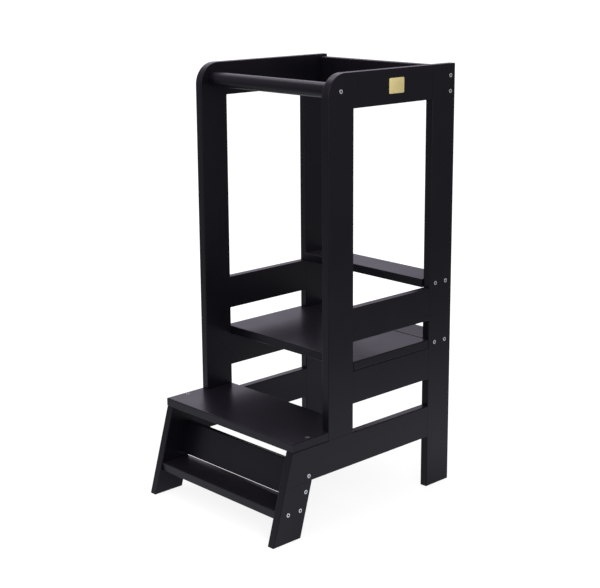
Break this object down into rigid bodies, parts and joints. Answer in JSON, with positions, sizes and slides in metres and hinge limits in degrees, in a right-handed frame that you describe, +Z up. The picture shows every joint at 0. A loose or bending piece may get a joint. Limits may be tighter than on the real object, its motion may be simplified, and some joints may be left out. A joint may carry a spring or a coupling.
{
  "type": "toddler kitchen helper stool",
  "caption": "Tall narrow toddler standing tower: two flat-board side frames joined by a platform, a front step, a round front handrail and open back boards.",
  "frame": {"origin": "middle of the footprint, on the floor", "axes": "+Z up, front of the stool (the step) towards -Y, +X towards the frame with the metal plate"},
  "size_m": [0.3911, 0.5124, 0.9],
  "materials": {
    "black_lacquer": "satin black lacquer on flat boards, eased edges",
    "screw_steel": "bright zinc-plated countersunk hex-socket screws",
    "beech_pins": "plain unfinished beech",
    "plate_brass": "satin brass, bare",
    "plate_adhesive": "thin adhesive pad"
  },
  "bodies": {
    "root": {"front_post_right": "black_lacquer", "front_post_left": "black_lacquer", "rear_post_right": "black_lacquer", "rear_post_left": "black_lacquer", "top_rail_right": "black_lacquer", "top_rail_left": "black_lacquer", "guard_rail_right": "black_lacquer", "guard_rail_left": "black_lacquer", "platform_rail_right": "black_lacquer", "platform_rail_left": "black_lacquer", "lower_rail_right": "black_lacquer", "lower_rail_left": "black_lacquer", "foot_right": "black_lacquer", "foot_left": "black_lacquer", "handrail": "black_lacquer", "back_panel": "black_lacquer", "back_bar": "black_lacquer", "platform_board": "black_lacquer", "platform_rear_board": "black_lacquer", "step_tread": "black_lacquer", "step_riser": "black_lacquer", "low_shelf": "black_lacquer", "handrail_screws": "screw_steel", "back_panel_screws": "screw_steel", "back_bar_screws": "screw_steel", "platform_screws": "screw_steel", "tread_screws": "screw_steel", "riser_screws": "screw_steel", "shelf_screws": "screw_steel", "frame_pins_left": "beech_pins", "frame_pins_right": "beech_pins", "foot_pins": "beech_pins", "platform_pins": "beech_pins", "name_plate": "plate_brass", "plate_pad": "plate_adhesive"}
  },
  "joints": []
}
